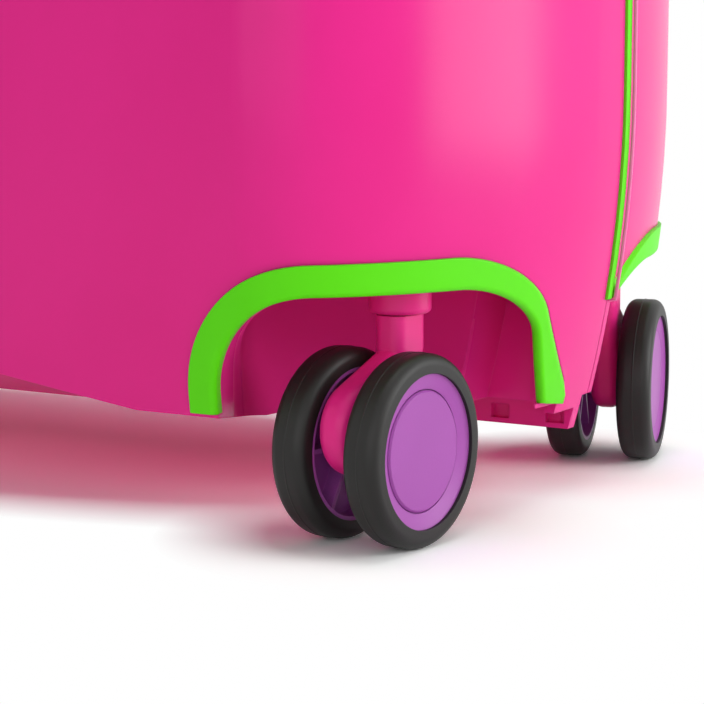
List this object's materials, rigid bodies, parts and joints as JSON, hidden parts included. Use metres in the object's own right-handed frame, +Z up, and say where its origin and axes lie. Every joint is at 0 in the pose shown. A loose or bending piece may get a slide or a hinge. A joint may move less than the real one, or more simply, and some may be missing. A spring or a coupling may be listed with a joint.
{
  "type": "ride on suitcase",
  "caption": "Clamshell suitcase that a child sits on and rides: deep and shallow pink shells, saddle top, loop grips, lime wheel arches, twin wheel swivel casters.",
  "frame": {"origin": "on the floor under the middle of the case", "axes": "+X towards the front end with the grips, +Y towards the right half, +Z up"},
  "size_m": [0.457, 0.2106, 0.333],
  "materials": {
    "shell_pink": "gloss moulded plastic, hot pink",
    "caster_pink": "satin moulded plastic, pink",
    "trim_lime": "soft satin lime rubber",
    "seal_lime": "soft matte lime rubber",
    "tyre_black": "matte black rubber",
    "hub_purple": "satin moulded plastic, purple",
    "grip_purple": "soft satin purple rubber",
    "eye_purple": "satin moulded plastic, purple",
    "latch_lime": "satin moulded plastic, lime",
    "steel": "plain steel"
  },
  "bodies": {
    "left_half": {"arch_trim_front_left": "trim_lime", "arch_trim_rear_left": "trim_lime", "grip_bolts_left": "steel", "grip_left": "grip_purple", "hinge_pin": "steel", "latch_bases": "latch_lime", "latch_pins": "steel", "seam_seal": "seal_lime", "shell_left": "shell_pink", "swivel_collars_left": "caster_pink", "tow_eye_front": "eye_purple", "tow_eye_rear": "eye_purple"},
    "right_half": {"arch_trim_front_right": "trim_lime", "arch_trim_rear_right": "trim_lime", "grip_bolts_right": "steel", "grip_right": "grip_purple", "latch_keepers": "latch_lime", "shell_right": "shell_pink", "swivel_collars_right": "caster_pink"},
    "latch_front": {"latch_lever_front": "latch_lime"},
    "latch_rear": {"latch_lever_rear": "latch_lime"},
    "caster_front_left": {"fork_front_left": "caster_pink", "swivel_pin_front_left": "steel", "axle_front_left": "steel"},
    "wheel_a_front_left": {"tyre_a_front_left": "tyre_black", "hub_a_front_left": "hub_purple", "hub_cap_a_front_left": "hub_purple"},
    "wheel_b_front_left": {"tyre_b_front_left": "tyre_black", "hub_b_front_left": "hub_purple", "hub_cap_b_front_left": "hub_purple"},
    "caster_front_right": {"fork_front_right": "caster_pink", "swivel_pin_front_right": "steel", "axle_front_right": "steel"},
    "wheel_a_front_right": {"tyre_a_front_right": "tyre_black", "hub_a_front_right": "hub_purple", "hub_cap_a_front_right": "hub_purple"},
    "wheel_b_front_right": {"tyre_b_front_right": "tyre_black", "hub_b_front_right": "hub_purple", "hub_cap_b_front_right": "hub_purple"},
    "caster_rear_left": {"fork_rear_left": "caster_pink", "swivel_pin_rear_left": "steel", "axle_rear_left": "steel"},
    "wheel_a_rear_left": {"tyre_a_rear_left": "tyre_black", "hub_a_rear_left": "hub_purple", "hub_cap_a_rear_left": "hub_purple"},
    "wheel_b_rear_left": {"tyre_b_rear_left": "tyre_black", "hub_b_rear_left": "hub_purple", "hub_cap_b_rear_left": "hub_purple"},
    "caster_rear_right": {"fork_rear_right": "caster_pink", "swivel_pin_rear_right": "steel", "axle_rear_right": "steel"},
    "wheel_a_rear_right": {"tyre_a_rear_right": "tyre_black", "hub_a_rear_right": "hub_purple", "hub_cap_a_rear_right": "hub_purple"},
    "wheel_b_rear_right": {"tyre_b_rear_right": "tyre_black", "hub_b_rear_right": "hub_purple", "hub_cap_b_rear_right": "hub_purple"}
  },
  "joints": [
    {"name": "case_hinge", "type": "hinge", "parent": "left_half", "child": "right_half", "pos_m": [0, 0.0185, 0.021], "axis": [-1, 0, 0], "range_deg": [0, 100]},
    {"name": "swivel_front_left", "type": "hinge", "parent": "left_half", "child": "caster_front_left", "pos_m": [0.195, -0.0595, 0.056], "axis": [0, 0, 1], "continuous": true},
    {"name": "spin_a_front_left", "type": "hinge", "parent": "caster_front_left", "child": "wheel_a_front_left", "pos_m": [0.19435, -0.06948, 0.024], "axis": [0.9979, -0.0645, 0], "continuous": true},
    {"name": "spin_b_front_left", "type": "hinge", "parent": "caster_front_left", "child": "wheel_b_front_left", "pos_m": [0.19435, -0.06948, 0.024], "axis": [0.9979, -0.0645, 0], "continuous": true},
    {"name": "swivel_front_right", "type": "hinge", "parent": "right_half", "child": "caster_front_right", "pos_m": [0.195, 0.0595, 0.056], "axis": [0, 0, 1], "continuous": true},
    {"name": "spin_a_front_right", "type": "hinge", "parent": "caster_front_right", "child": "wheel_a_front_right", "pos_m": [0.19226, 0.06912, 0.024], "axis": [-0.9617, -0.274, 0], "continuous": true},
    {"name": "spin_b_front_right", "type": "hinge", "parent": "caster_front_right", "child": "wheel_b_front_right", "pos_m": [0.19226, 0.06912, 0.024], "axis": [-0.9617, -0.274, 0], "continuous": true},
    {"name": "swivel_rear_left", "type": "hinge", "parent": "left_half", "child": "caster_rear_left", "pos_m": [-0.195, -0.0595, 0.056], "axis": [0, 0, 1], "continuous": true},
    {"name": "spin_a_rear_left", "type": "hinge", "parent": "caster_rear_left", "child": "wheel_a_rear_left", "pos_m": [-0.19344, -0.06938, 0.024], "axis": [0.9877, 0.1564, 0], "continuous": true},
    {"name": "spin_b_rear_left", "type": "hinge", "parent": "caster_rear_left", "child": "wheel_b_rear_left", "pos_m": [-0.19344, -0.06938, 0.024], "axis": [0.9877, 0.1564, 0], "continuous": true},
    {"name": "swivel_rear_right", "type": "hinge", "parent": "right_half", "child": "caster_rear_right", "pos_m": [-0.195, 0.0595, 0.056], "axis": [0, 0, 1], "continuous": true},
    {"name": "spin_a_rear_right", "type": "hinge", "parent": "caster_rear_right", "child": "wheel_a_rear_right", "pos_m": [-0.19361, 0.0694, 0.024], "axis": [-0.9903, 0.1392, 0], "continuous": true},
    {"name": "spin_b_rear_right", "type": "hinge", "parent": "caster_rear_right", "child": "wheel_b_rear_right", "pos_m": [-0.19361, 0.0694, 0.024], "axis": [-0.9903, 0.1392, 0], "continuous": true},
    {"name": "latch_front_swing", "type": "hinge", "parent": "left_half", "child": "latch_front", "pos_m": [0.22544, -0.0056, 0.205], "axis": [0, 0, -1], "range_deg": [0, 105]},
    {"name": "latch_rear_swing", "type": "hinge", "parent": "left_half", "child": "latch_rear", "pos_m": [-0.22544, -0.0056, 0.205], "axis": [0, 0, 1], "range_deg": [0, 105]}
  ]
}
